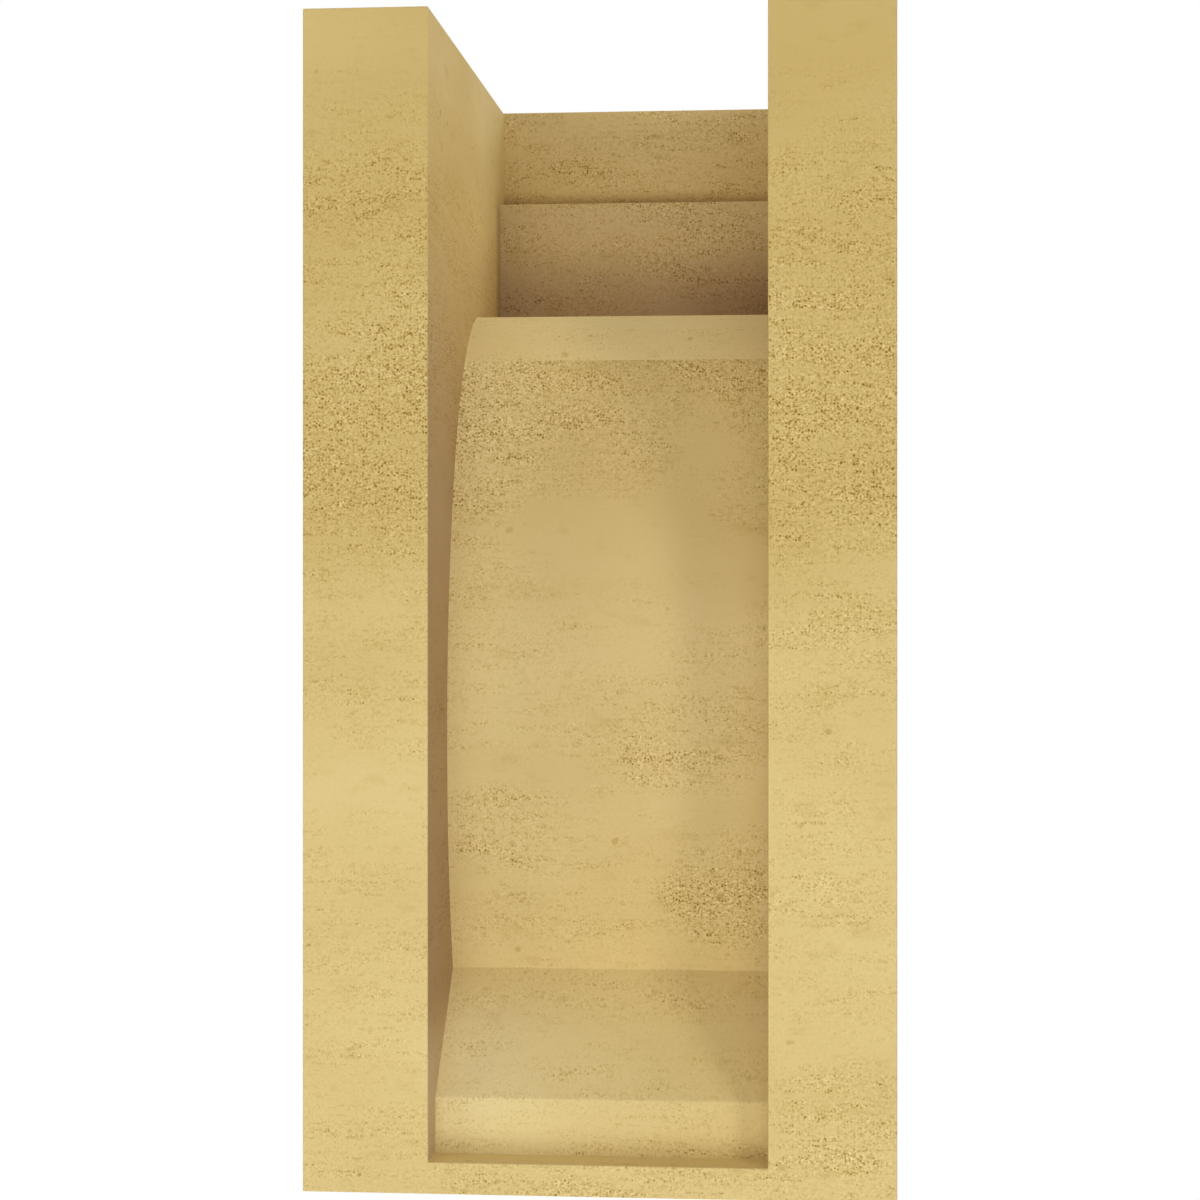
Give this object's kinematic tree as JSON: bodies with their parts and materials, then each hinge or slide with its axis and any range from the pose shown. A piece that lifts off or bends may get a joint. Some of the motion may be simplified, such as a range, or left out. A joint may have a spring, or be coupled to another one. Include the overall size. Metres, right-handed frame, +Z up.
{
  "type": "corbel",
  "caption": "Hollow moulded corbel with stepped bands, a level soffit, an elliptical cove and a small chamfered foot, open at the wall and at the top.",
  "frame": {"origin": "on the wall face, on the centreline, halfway up the thin bar that closes the recess below", "axes": "+Z up; +Y out of the wall face and into the wall, so the corbel projects along -Y; +X across the width"},
  "size_m": [0.1778, 0.1778, 0.3556],
  "materials": {
    "mottled_tan": "matte"
  },
  "bodies": {
    "root": {"corbel_body": "mottled_tan"}
  },
  "joints": []
}
